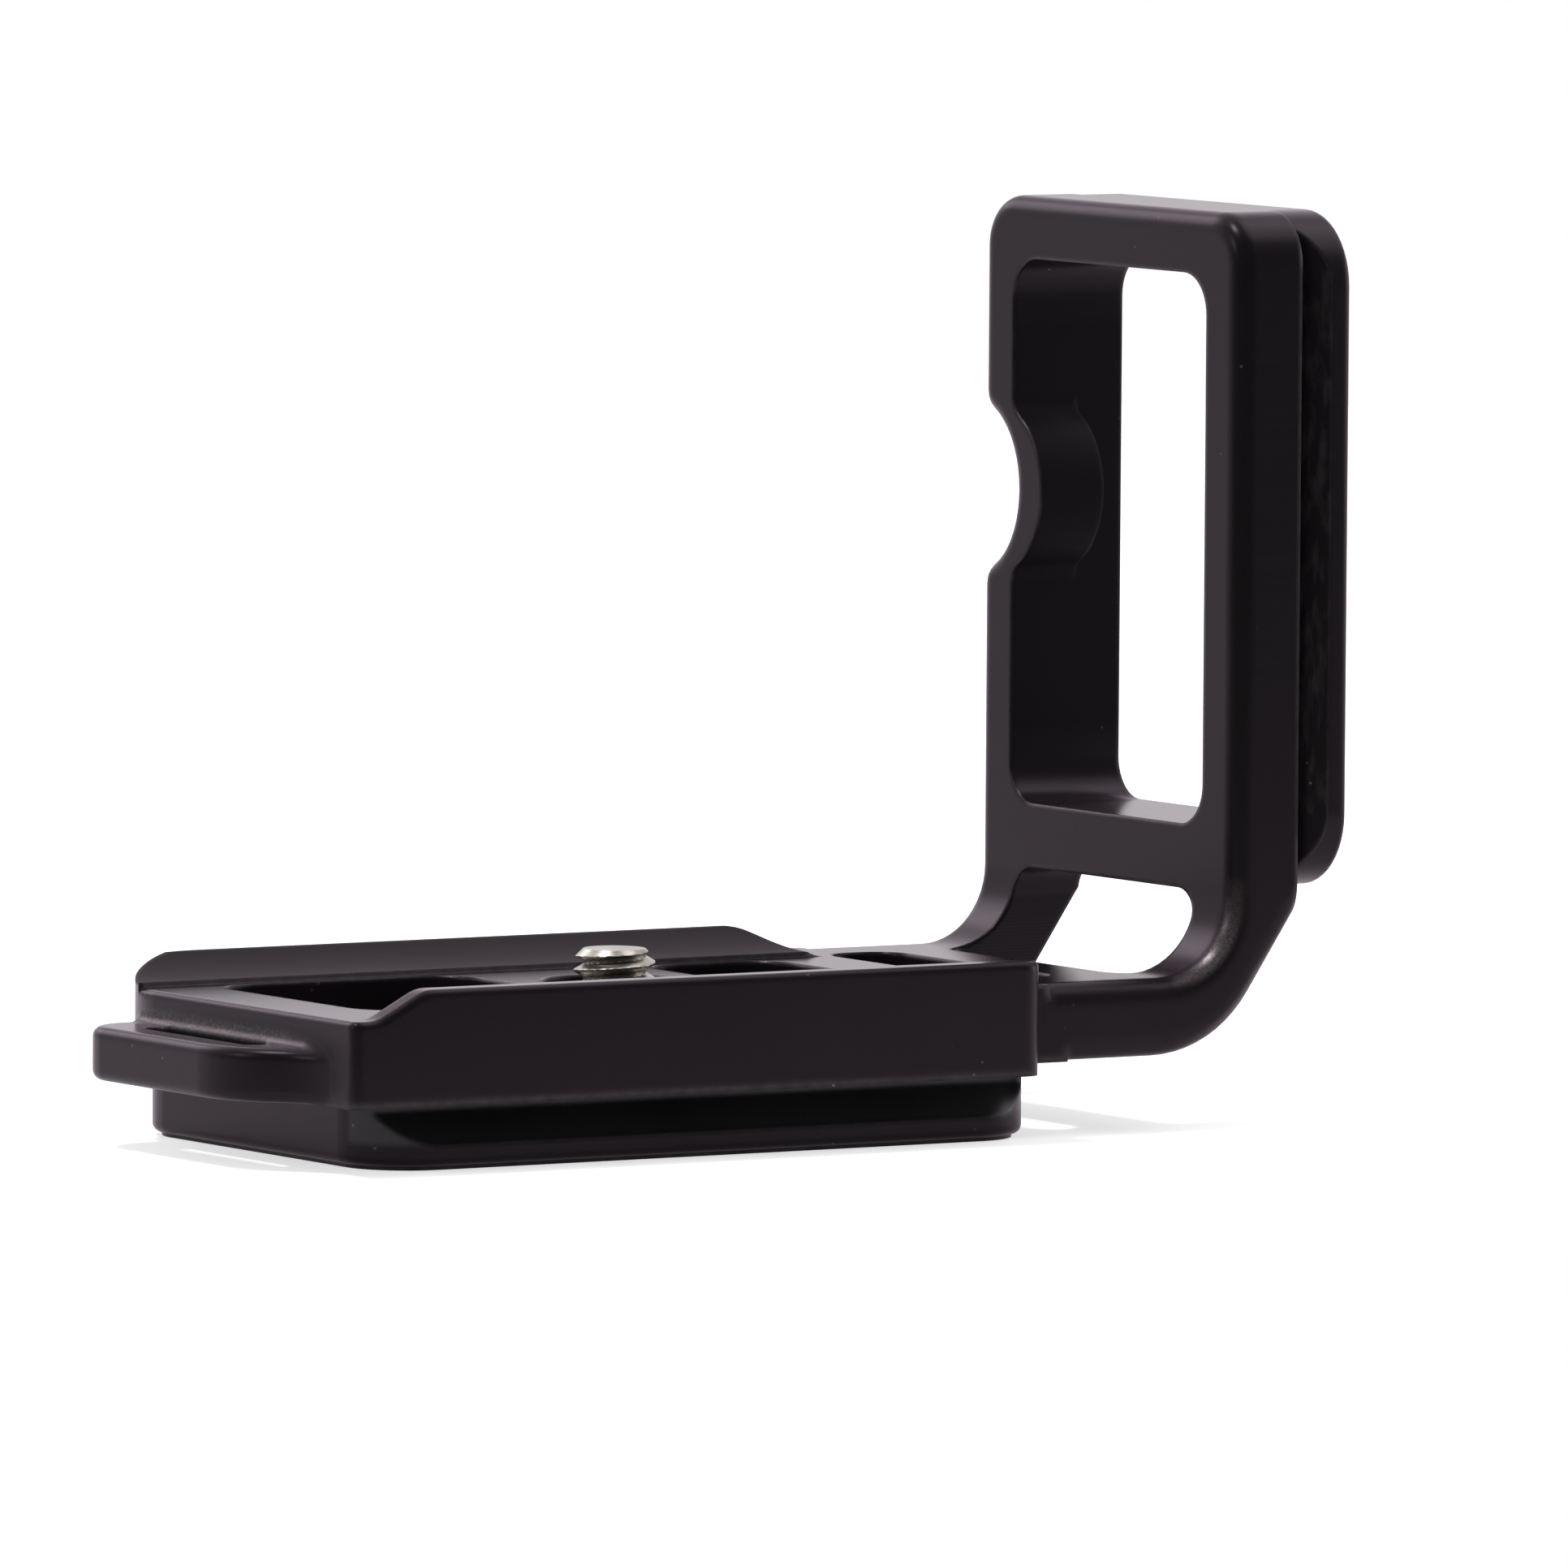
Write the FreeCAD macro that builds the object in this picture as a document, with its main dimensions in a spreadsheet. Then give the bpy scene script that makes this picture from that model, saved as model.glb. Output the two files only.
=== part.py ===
"""Camera L-bracket: a milled aluminium base and arm in one piece, with a captive camera screw.

Frame: +Z up, +X towards the upright arm, +Y to the rear. The origin lies on the camera screw's axis,
in the plane of the base dovetail's sole.
"""
import FreeCAD, Part
import math
import os

import Sketcher
import PartDesign

# Driving dimensions in millimetres. Places along X, Y and Z are taken from the origin unless named otherwise.
SIZES = {
    # Dovetail, the same profile under the base and on the outside of the arm
    "dovetail_width": 38.0,
    "dovetail_edge": 1.9,
    "dovetail_slant": 2.4,
    "dovetail_corner": 5.8,
    "dovetail_round": 0.7,
    "base_setback": 3.8,
    "base_reach": 2.3,
    "sole_step": 0.28,
    "sole_inset": 0.75,
    # Base block and its deck
    "body_width": 37.0,
    "block_bottom": 5.2,
    "deck_height": 11.8,
    "block_left": 36.1,
    "block_right": 25.3,
    "near_overhang": 3.5,
    "block_far_corner": 10.4,
    "block_near_corner": 0.8,
    "block_end_round": 1.7,
    "block_edge_round": 0.5,
    # Camera lips
    "near_lip_height": 2.2,
    "near_lip_width": 1.9,
    "near_ramp_setback": 2.2,
    "near_ramp_length": 4.2,
    "far_lip_height": 2.0,
    "far_lip_width": 7.5,
    "far_lip_wall": 0.4,
    "far_lip_crest": 0.7,
    "far_ramp_foot": 24.7,
    "far_ramp_length": 2.6,
    "far_strip_reach": 3.5,
    "ramp_round": 3.0,
    # Openings of the deck and the foot
    "web_half": 8.1,
    "left_window_rim": 6.1,
    "right_window_rim": 5.0,
    "window_near_margin": 7.4,
    "window_far_margin": 0.6,
    "window_corner": 3.9,
    "slot_gap": 1.0,
    "slot_width": 6.4,
    "slot_side_rail": 5.9,
    "slot_corner": 2.6,
    # Foot, bend and arm
    "foot_thickness": 6.0,
    "arm_inner": 44.6,
    "arm_thickness": 5.8,
    "arm_top": 70.5,
    "bend_inner": 6.0,
    "bend_outer": 10.4,
    "bend_flat_top": 16.1,
    "bend_flat_run": 7.0,
    "arm_corner": 4.0,
    "arm_edge_round": 1.5,
    "top_rim_start": 2.5,
    "bottom_rim_start": 4.2,
    "arm_dovetail_bottom": 18.2,
    # Openings of the arm
    "arm_side_rail": 4.65,
    "arm_window_bottom": 23.05,
    "arm_top_rail": 4.8,
    "arm_window_corner": 3.2,
    "bend_side_rail": 5.6,
    "bend_window_reach": 7.0,
    "bend_window_top": 18.05,
    "bend_window_corner": 2.4,
    "notch_height": 47.5,
    "notch_radius": 6.6,
    "notch_depth": 4.6,
    "notch_blend": 2.0,
    "notch_strip": 4.3,
    # Strap loop
    "loop_reach": 5.2,
    "loop_far_setback": 7.3,
    "loop_near_setback": 1.6,
    "loop_return_run": 12.7,
    "loop_thickness": 4.1,
    "loop_corner": 4.0,
    "loop_root": 0.2,
    "loop_edge_round": 0.8,
    "loop_seat": 0.9,
    "strap_bar": 2.7,
    "strap_slot_gap": 0.4,
    "strap_slot_far_rim": 5.7,
    "strap_slot_near_rim": 9.9,
    "strap_slot_corner": 1.0,
    # Captive camera screw and its stepped bore
    "thread_diameter": 6.35,
    "shank_clearance": 0.06,
    "head_diameter": 12.0,
    "head_thickness": 3.0,
    "head_clearance": 0.4,
    "head_recess": 0.4,
    "head_seat_gap": 0.1,
    "land_bore": 5.6,
    "land_thickness": 1.4,
    "neck_diameter": 5.0,
    "neck_play": 0.3,
    "recess_diameter": 11.0,
    "recess_depth": 0.9,
    "screw_rise": 2.5,
    "tip_chamfer": 0.7,
    "socket_flats": 4.0,
    "socket_depth": 2.0,
}


def make_sheet(doc):
    """Write the driving dimensions to the spreadsheet, one aliased cell each."""
    sheet = doc.addObject("Spreadsheet::Sheet", "Sizes")
    for row, (alias, value) in enumerate(SIZES.items(), start=1):
        sheet.set(f"A{row}", alias)
        sheet.set(f"B{row}", str(value))
        sheet.setAlias(f"B{row}", alias)
    doc.recompute()


def new_sketch(body, name, role, offset="0 mm"):
    """Sketch on one of the body's origin planes, moved along the plane's normal by an expression."""
    plane = next(item for item in body.Origin.OriginFeatures if item.Role == role)
    sketch = body.newObject("Sketcher::SketchObject", name)
    sketch.AttachmentSupport = (plane, [""])
    sketch.MapMode = "FlatFace"
    sketch.setExpression("AttachmentOffset.Base.z", offset)
    return sketch


def bind(sketch, constraint, expression):
    """Add a constraint and let a cell of the sheet set its value."""
    index = sketch.addConstraint(constraint)
    sketch.setExpression(f"Constraints[{index}]", expression)


def point_at(sketch, place):
    """Where a pair of expressions puts a point of the sketch."""
    return FreeCAD.Vector(*(float(sketch.evalExpression(expression)) for expression in place))


def pin(sketch, geometry, position, place):
    """Tie a sketch point's two coordinates to expressions."""
    start = point_at(sketch, place)
    for kind, value, expression in zip(("DistanceX", "DistanceY"), start, place):
        bind(sketch, Sketcher.Constraint(kind, -1, 1, geometry, position, value), expression)


def draw_outline(sketch, places):
    """Closed polygon whose corners sit where pairs of expressions put them."""
    first = sketch.GeometryCount
    count = len(places)
    corners = [point_at(sketch, place) for place in places]
    for k in range(count):
        sketch.addGeometry(Part.LineSegment(corners[k], corners[(k + 1) % count]), False)
    for k in range(count):
        sketch.addConstraint(Sketcher.Constraint("Coincident", first + k, 2, first + (k + 1) % count, 1))
    for k, place in enumerate(places):
        pin(sketch, first + k, 1, place)


def draw_box(sketch, left, right, low, high):
    """Rectangle between two expressions along each sketch axis."""
    draw_outline(sketch, [(left, low), (right, low), (right, high), (left, high)])


def draw_arc(sketch, centre, radius, begin, end):
    """Arc with its radius set by an expression; its ends are left to be joined to other lines."""
    size = float(sketch.evalExpression(radius))
    circle = Part.Circle(point_at(sketch, centre), FreeCAD.Vector(0, 0, 1), size)
    arc = sketch.addGeometry(Part.ArcOfCircle(circle, begin, end), False)
    bind(sketch, Sketcher.Constraint("Radius", arc, size), radius)
    return arc


def draw_rounded_box(sketch, left, right, low, high, radius):
    """Rectangle between two expressions along each sketch axis, with round corners."""
    first = sketch.GeometryCount
    inner_left, inner_right = f"{left} + {radius}", f"{right} - {radius}"
    inner_low, inner_high = f"{low} + {radius}", f"{high} - {radius}"
    sides = [
        ((inner_left, low), (inner_right, low)),
        ((right, inner_low), (right, inner_high)),
        ((inner_right, high), (inner_left, high)),
        ((left, inner_high), (left, inner_low)),
    ]
    centres = [
        (inner_right, inner_low),
        (inner_right, inner_high),
        (inner_left, inner_high),
        (inner_left, inner_low),
    ]
    for number, (start, end) in enumerate(sides):
        sketch.addGeometry(Part.LineSegment(point_at(sketch, start), point_at(sketch, end)), False)
        pin(sketch, first + number, 1, start)
        pin(sketch, first + number, 2, end)
    for number, centre in enumerate(centres):
        begin = (number - 1) * math.pi / 2
        arc = draw_arc(sketch, centre, radius, begin, begin + math.pi / 2)
        sketch.addConstraint(Sketcher.Constraint("Coincident", first + number, 2, arc, 1))
        sketch.addConstraint(Sketcher.Constraint("Coincident", arc, 2, first + (number + 1) % len(sides), 1))


def draw_circle(sketch, place, radius):
    """Circle with its centre and radius set by expressions."""
    size = float(sketch.evalExpression(radius))
    circle = Part.Circle(point_at(sketch, place), FreeCAD.Vector(0, 0, 1), size)
    index = sketch.addGeometry(circle, False)
    pin(sketch, index, 3, place)
    bind(sketch, Sketcher.Constraint("Radius", index, size), radius)


def pad(body, sketch, name, length, symmetric=False, reverse=False):
    """Raise a sketch along its normal, or to both sides of its plane."""
    feature = body.newObject("PartDesign::Pad", name)
    feature.Profile = (sketch, [""])
    feature.SideType = "Symmetric" if symmetric else "One side"
    feature.Reversed = reverse
    feature.setExpression("Length", length)
    body.Document.recompute()
    return feature


def pocket(body, sketch, name, length, symmetric=False, reverse=False):
    """Cut a sketch against its normal, and make sure that it removed metal."""
    before = body.Shape.Volume
    feature = body.newObject("PartDesign::Pocket", name)
    feature.Profile = (sketch, [""])
    feature.SideType = "Symmetric" if symmetric else "One side"
    feature.Reversed = reverse
    feature.setExpression("Length", length)
    body.Document.recompute()
    if body.Shape.Volume > before - 1e-3:
        raise RuntimeError(f"{name} cut nothing")
    return feature


def edges_where(shape, test):
    """Names of the edges whose middle point and direction pass a test."""
    names = []
    for number, edge in enumerate(shape.Edges, start=1):
        middle = edge.valueAt((edge.FirstParameter + edge.LastParameter) / 2)
        along = edge.tangentAt((edge.FirstParameter + edge.LastParameter) / 2)
        if test(middle, along, edge):
            names.append(f"Edge{number}")
    return names


def fillet(body, name, radius, test):
    """Round the edges that pass a test."""
    base = body.Tip
    names = edges_where(base.Shape, test)
    if not names:
        raise RuntimeError(f"{name} found no edge")
    feature = body.newObject("PartDesign::Fillet", name)
    feature.Base = (base, names)
    feature.setExpression("Radius", radius)
    body.Document.recompute()
    return feature


def spin(body, sketch, kind, name):
    """Turn a sketch once round its vertical axis, to add or to cut metal."""
    feature = body.newObject(kind, name)
    feature.Profile = (sketch, [""])
    feature.ReferenceAxis = (sketch, ["V_Axis"])
    feature.Angle = 360
    body.Document.recompute()
    return feature


def near(a, b, tolerance=0.02):
    """Whether two coordinates agree."""
    return abs(a - b) < tolerance


# Planes and edges that several features share, as expressions on the sheet
HALF_BODY = "Sizes.body_width / 2"
HALF_DOVETAIL = "Sizes.dovetail_width / 2"
HALF_NECK = "(Sizes.dovetail_width / 2 - Sizes.dovetail_slant)"
FOOT_BOTTOM = "(Sizes.deck_height - Sizes.foot_thickness)"
LIP_TOP = "(Sizes.deck_height + Sizes.near_lip_height)"
FAR_LIP_TOP = "(Sizes.deck_height + Sizes.far_lip_height)"
FAR_LIP_FACE = "(Sizes.body_width / 2 - Sizes.far_lip_width)"
FAR_LIP_END = "(Sizes.far_ramp_foot + Sizes.far_strip_reach)"
BLOCK_NEAR = "(Sizes.body_width / 2 + Sizes.near_overhang)"
NEAR_RAMP_FOOT = "(Sizes.near_ramp_setback - Sizes.block_left)"
BASE_LEFT = "(Sizes.base_setback - Sizes.block_left)"
BASE_RIGHT = "(Sizes.block_right + Sizes.base_reach)"
LEFT_WINDOW_END = "(Sizes.left_window_rim - Sizes.block_left)"
RIGHT_WINDOW_END = "(Sizes.block_right - Sizes.right_window_rim)"
SLOT_LEFT = "(Sizes.block_right + Sizes.slot_gap)"
BEND_WINDOW_START = "(Sizes.arm_inner - Sizes.bend_window_reach)"
LOOP_LEFT = "(-Sizes.block_left - Sizes.loop_reach)"
WINDOW_HALF = "(Sizes.body_width / 2 - Sizes.arm_side_rail)"
WINDOW_TOP = "(Sizes.arm_top - Sizes.arm_top_rail)"
BEND_WINDOW_HALF = "(Sizes.body_width / 2 - Sizes.bend_side_rail)"
SLOT_HALF = "(Sizes.body_width / 2 - Sizes.slot_side_rail)"
GROOVE_PLANE = "(Sizes.arm_inner + Sizes.arm_thickness)"
DOVETAIL_HEIGHT = "(Sizes.dovetail_edge + Sizes.dovetail_slant)"
NOTCH_CENTRE = "(Sizes.body_width / 2 - Sizes.notch_depth + Sizes.notch_radius)"
SWELL_CENTRE = "(Sizes.body_width / 2 - Sizes.notch_depth - Sizes.notch_strip + Sizes.notch_radius)"
LAND_TOP = "(Sizes.deck_height - Sizes.recess_depth)"
LAND_BOTTOM = "(Sizes.deck_height - Sizes.recess_depth - Sizes.land_thickness)"
LOOP_TOP = "(Sizes.block_bottom + Sizes.loop_thickness)"
LOOP_ROOT = "(Sizes.loop_root - Sizes.block_left)"
LOOP_STEP = "(Sizes.loop_reach + Sizes.loop_root)"
LOOP_BEND = f"(({LOOP_STEP} ^ 2 + Sizes.loop_return_run ^ 2) / (4 * {LOOP_STEP}))"
LOOP_FAR = "(Sizes.body_width / 2 - Sizes.loop_far_setback)"
LOOP_NEAR = "(Sizes.body_width / 2 + Sizes.near_overhang - Sizes.loop_near_setback)"
COVE_RISE = "(Sizes.far_lip_height - Sizes.far_lip_wall)"
COVE_RADIUS = f"(((Sizes.far_lip_width - Sizes.far_lip_crest) ^ 2 + {COVE_RISE} ^ 2) / (2 * {COVE_RISE}))"

# The same planes as numbers, used to find edges
half_body = SIZES["body_width"] / 2
half_dovetail = SIZES["dovetail_width"] / 2
foot_bottom = SIZES["deck_height"] - SIZES["foot_thickness"]
lip_top = SIZES["deck_height"] + SIZES["near_lip_height"]
far_lip_top = SIZES["deck_height"] + SIZES["far_lip_height"]
window_half = half_body - SIZES["arm_side_rail"]
window_top = SIZES["arm_top"] - SIZES["arm_top_rail"]
near_ramp_foot = SIZES["near_ramp_setback"] - SIZES["block_left"]
block_near = half_body + SIZES["near_overhang"]
loop_far = half_body - SIZES["loop_far_setback"]
loop_left = -SIZES["block_left"] - SIZES["loop_reach"]
loop_top = SIZES["block_bottom"] + SIZES["loop_thickness"]
swell_centre = half_body - SIZES["notch_depth"] - SIZES["notch_strip"] + SIZES["notch_radius"]
groove_plane = SIZES["arm_inner"] + SIZES["arm_thickness"]
arm_face = groove_plane + SIZES["dovetail_edge"] + SIZES["dovetail_slant"]


def on_sides(point):
    """Whether a point lies on the near or far face of the foot and arm."""
    return near(abs(point.y), half_body)


def build_bent_body(body):
    """Foot, bend and arm: one bent bar with rounded edges and a finger notch in its far side."""
    profile = new_sketch(body, "BentProfile", "XZ_Plane")
    draw_outline(profile, [
        ("Sizes.block_right - Sizes.foot_thickness", FOOT_BOTTOM),
        (f"{GROOVE_PLANE} - Sizes.bend_flat_run", FOOT_BOTTOM),
        (GROOVE_PLANE, "Sizes.bend_flat_top"),
        (GROOVE_PLANE, "Sizes.arm_top"),
        ("Sizes.arm_inner", "Sizes.arm_top"),
        ("Sizes.arm_inner", "Sizes.deck_height"),
        ("Sizes.block_right - Sizes.foot_thickness", "Sizes.deck_height"),
    ])
    pad(body, profile, "BentBar", "Sizes.body_width", symmetric=True)

    fillet(body, "InnerBend", "Sizes.bend_inner", lambda p, d, e: abs(d.y) > 0.99
           and near(p.x, SIZES["arm_inner"]) and near(p.z, SIZES["deck_height"]))
    fillet(body, "OuterBend", "Sizes.bend_outer", lambda p, d, e: abs(d.y) > 0.99
           and near(p.x, groove_plane - SIZES["bend_flat_run"]) and near(p.z, foot_bottom))
    fillet(body, "ArmCorners", "Sizes.arm_corner", lambda p, d, e: abs(d.x) > 0.99
           and on_sides(p) and near(p.z, SIZES["arm_top"]))

    notch = new_sketch(body, "NotchCircle", "YZ_Plane", GROOVE_PLANE)
    draw_circle(notch, (NOTCH_CENTRE, "Sizes.notch_height"), "Sizes.notch_radius")
    pocket(body, notch, "Notch", "Sizes.arm_thickness")
    fillet(body, "NotchBlends", "Sizes.notch_blend", lambda p, d, e: abs(d.x) > 0.99
           and near(p.y, half_body) and abs(p.z - SIZES["notch_height"]) < SIZES["notch_radius"])

    def inner_rim(point, along, edge):
        """Rim of the faces that touch the camera: inside of the arm, inside of the bend, top of the foot."""
        if near(point.x, SIZES["arm_inner"]) and point.z > SIZES["deck_height"] + SIZES["bend_inner"]:
            return abs(along.y) < 0.99 or near(point.z, SIZES["arm_top"])
        inside_bend = point.z < SIZES["deck_height"] + SIZES["bend_inner"] and point.x < SIZES["arm_inner"]
        above = point.z > SIZES["deck_height"] - 0.01
        return on_sides(point) and abs(along.y) < 0.01 and inside_bend and above

    fillet(body, "InnerRim", "Sizes.arm_edge_round", inner_rim)

    def outer_rim(point, along, edge):
        """Outer rim of the foot and the bend, up to where the dovetail's plane starts."""
        outside = point.z < SIZES["bend_flat_top"] and abs(along.y) < 0.01 and abs(along.z) < 0.99
        return on_sides(point) and outside and point.z < SIZES["deck_height"] + SIZES["bend_inner"]

    fillet(body, "OuterRim", "Sizes.arm_edge_round", outer_rim)


def draw_notched_window(sketch):
    """Arm window whose far side swells inwards, so that the strip round the notch keeps its width."""
    half, low, high = window_half, SIZES["arm_window_bottom"], window_top
    centre = FreeCAD.Vector(swell_centre, SIZES["notch_height"], 0)
    angle = math.acos((centre.x - half) / SIZES["notch_radius"])
    rise = SIZES["notch_radius"] * math.sin(angle)
    corners = [FreeCAD.Vector(-half, low), FreeCAD.Vector(half, low), FreeCAD.Vector(half, centre.y - rise),
               FreeCAD.Vector(half, centre.y + rise), FreeCAD.Vector(half, high), FreeCAD.Vector(-half, high)]
    sides = [(0, 1), (1, 2), (3, 4), (4, 5), (5, 0)]
    for start, end in sides:
        sketch.addGeometry(Part.LineSegment(corners[start], corners[end]), False)
    swell = (SWELL_CENTRE, "Sizes.notch_height")
    arc = draw_arc(sketch, swell, "Sizes.notch_radius", math.pi - angle, math.pi + angle)
    for first, second in ((0, 1), (2, 3), (3, 4), (4, 0)):
        sketch.addConstraint(Sketcher.Constraint("Coincident", first, 2, second, 1))
    sketch.addConstraint(Sketcher.Constraint("Coincident", 1, 2, arc, 2))
    sketch.addConstraint(Sketcher.Constraint("Coincident", 2, 1, arc, 1))
    pin(sketch, 0, 1, (f"-{WINDOW_HALF}", "Sizes.arm_window_bottom"))
    pin(sketch, 1, 1, (WINDOW_HALF, "Sizes.arm_window_bottom"))
    pin(sketch, 3, 1, (WINDOW_HALF, WINDOW_TOP))
    pin(sketch, 4, 1, (f"-{WINDOW_HALF}", WINDOW_TOP))
    pin(sketch, arc, 3, swell)
    for line, end, corner in ((1, 2, corners[2]), (2, 1, corners[3])):
        bind(sketch, Sketcher.Constraint("DistanceX", -1, 1, line, end, corner.x), WINDOW_HALF)


def build_arm_openings(body):
    """The large window of the arm's body and the lower window that wraps round the bend."""
    window = new_sketch(body, "ArmWindow", "YZ_Plane", GROOVE_PLANE)
    draw_notched_window(window)
    pocket(body, window, "ArmWindowCut", "Sizes.arm_thickness")

    def by_the_notch(point):
        """Whether a point lies beside the finger notch, where the window swells."""
        return abs(point.z - SIZES["notch_height"]) < SIZES["notch_radius"] and point.y > 0

    fillet(body, "ArmWindowCorners", "Sizes.arm_window_corner", lambda p, d, e: abs(d.x) > 0.99
           and near(abs(p.y), window_half) and not by_the_notch(p))
    fillet(body, "SwellBlends", "Sizes.notch_blend", lambda p, d, e: abs(d.x) > 0.99
           and near(p.y, window_half) and by_the_notch(p))

    floor = new_sketch(body, "BendWindowFloor", "XY_Plane", "Sizes.deck_height + Sizes.bend_inner / 2")
    draw_rounded_box(floor, BEND_WINDOW_START, f"{GROOVE_PLANE} + Sizes.bend_window_corner",
                     f"-{BEND_WINDOW_HALF}", BEND_WINDOW_HALF, "Sizes.bend_window_corner")
    pocket(body, floor, "BendWindowFloorCut", "Sizes.deck_height")

    wall = new_sketch(body, "BendWindowWall", "YZ_Plane", GROOVE_PLANE)
    draw_rounded_box(wall, f"-{BEND_WINDOW_HALF}", BEND_WINDOW_HALF,
                     "Sizes.deck_height", "Sizes.bend_window_top", "Sizes.bend_window_corner")
    pocket(body, wall, "BendWindowWallCut", f"{GROOVE_PLANE} - {BEND_WINDOW_START}")


def build_arm_dovetail(body):
    """Dovetail on the outside of the arm: a windowed slab with a slanted groove along each side."""
    frame = new_sketch(body, "ArmDovetail", "YZ_Plane", GROOVE_PLANE)
    draw_rounded_box(frame, f"-{HALF_DOVETAIL}", HALF_DOVETAIL, "Sizes.arm_dovetail_bottom", "Sizes.arm_top",
                     "Sizes.dovetail_corner")
    draw_rounded_box(frame, f"-{WINDOW_HALF}", WINDOW_HALF,
                     "Sizes.arm_window_bottom", WINDOW_TOP, "Sizes.arm_window_corner")
    pad(body, frame, "ArmDovetailSlab", DOVETAIL_HEIGHT)
    fillet(body, "ArmDovetailRound", "Sizes.dovetail_round", lambda p, d, e: near(p.x, arm_face)
           and near(abs(p.y), half_dovetail))

    grooves = new_sketch(body, "ArmGrooves", "XY_Plane", "Sizes.arm_top")
    for side in ("", "-"):
        draw_outline(grooves, [
            (f"{GROOVE_PLANE} + Sizes.dovetail_slant", f"{side}{HALF_DOVETAIL}"),
            (GROOVE_PLANE, f"{side}{HALF_NECK}"),
            (GROOVE_PLANE, f"{side}Sizes.dovetail_width"),
            (f"{GROOVE_PLANE} + Sizes.dovetail_slant", f"{side}Sizes.dovetail_width"),
        ])
    pocket(body, grooves, "ArmGroovesCut", "Sizes.arm_top")


def build_base_dovetail(body):
    """Dovetail under the base: a slab with rounded corners, two long grooves and a stepped sole."""
    slab = new_sketch(body, "BaseDovetail", "XY_Plane", "Sizes.sole_step")
    draw_rounded_box(slab, BASE_LEFT, BASE_RIGHT, f"-{HALF_DOVETAIL}", HALF_DOVETAIL,
                     "Sizes.dovetail_corner")
    pad(body, slab, "BaseDovetailSlab", f"{FOOT_BOTTOM} - Sizes.sole_step")
    fillet(body, "BaseDovetailRound", "Sizes.dovetail_round", lambda p, d, e: near(p.z, SIZES["sole_step"]))

    grooves = new_sketch(body, "BaseGrooves", "YZ_Plane")
    for side in ("", "-"):
        draw_outline(grooves, [
            (f"{side}{HALF_DOVETAIL}", "Sizes.dovetail_edge"),
            (f"{side}{HALF_NECK}", DOVETAIL_HEIGHT),
            (f"{side}{HALF_NECK}", FOOT_BOTTOM),
            (f"{side}Sizes.dovetail_width", FOOT_BOTTOM),
            (f"{side}Sizes.dovetail_width", "Sizes.dovetail_edge"),
        ])
    pocket(body, grooves, "BaseGroovesCut", f"2 * ({BASE_RIGHT} - {BASE_LEFT})", symmetric=True)

    sole = new_sketch(body, "Sole", "XY_Plane")
    draw_rounded_box(sole, f"{BASE_LEFT} + Sizes.sole_inset", f"{BASE_RIGHT} - Sizes.sole_inset",
                     f"-{HALF_DOVETAIL} + Sizes.sole_inset", f"{HALF_DOVETAIL} - Sizes.sole_inset",
                     "(Sizes.dovetail_corner - Sizes.sole_inset)")
    pad(body, sole, "SolePad", "Sizes.sole_step")


def draw_loop_plan(sketch):
    """Plan of the strap loop: a bar along the block's end that returns to it in an S of two equal arcs."""
    left, near_side, inside = LOOP_LEFT, f"-{BLOCK_NEAR} + Sizes.block_edge_round", LEFT_WINDOW_END
    bend_start, bend_end = (left, f"Sizes.loop_return_run - {LOOP_NEAR}"), (LOOP_ROOT, f"-{LOOP_NEAR}")
    lines = [
        (bend_end, (LOOP_ROOT, near_side)),
        ((LOOP_ROOT, near_side), (inside, near_side)),
        ((inside, near_side), (inside, LOOP_FAR)),
        ((inside, LOOP_FAR), (left, LOOP_FAR)),
        ((left, LOOP_FAR), bend_start),
    ]
    for number, (start, end) in enumerate(lines):
        sketch.addGeometry(Part.LineSegment(point_at(sketch, start), point_at(sketch, end)), False)
        pin(sketch, number, 1, start)
        if number:
            sketch.addConstraint(Sketcher.Constraint("Coincident", number - 1, 2, number, 1))
    last = len(lines) - 1
    pin(sketch, last, 2, bend_start)

    turn = 2 * math.atan((SIZES["loop_reach"] + SIZES["loop_root"]) / SIZES["loop_return_run"])
    corner = draw_arc(sketch, (f"{left} + {LOOP_BEND}", bend_start[1]), LOOP_BEND, math.pi, math.pi + turn)
    back = draw_arc(sketch, (f"{LOOP_ROOT} - {LOOP_BEND}", bend_end[1]), LOOP_BEND, 0, turn)
    for first, first_end, second, second_end in ((last, 2, corner, 1), (corner, 2, back, 2), (back, 1, 0, 1)):
        sketch.addConstraint(Sketcher.Constraint("Coincident", first, first_end, second, second_end))
    pin(sketch, corner, 2, (f"({left} + {LOOP_ROOT}) / 2", f"Sizes.loop_return_run / 2 - {LOOP_NEAR}"))


def build_loop(body):
    """Strap loop that leaves the block's left end; the block later swallows its root."""
    plan = new_sketch(body, "LoopPlan", "XY_Plane", "Sizes.block_bottom")
    draw_loop_plan(plan)
    pad(body, plan, "Loop", "Sizes.loop_thickness")

    fillet(body, "LoopCorner", "Sizes.loop_corner", lambda p, d, e: abs(d.z) > 0.99
           and near(p.x, loop_left) and near(p.y, loop_far))

    def loop_rim(point, along, edge):
        """Outer edges of the loop, above and below."""
        outside = point.x < -SIZES["block_left"]
        return outside and (near(point.z, SIZES["block_bottom"]) or near(point.z, loop_top))

    fillet(body, "LoopRim", "Sizes.loop_edge_round", loop_rim)


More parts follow.
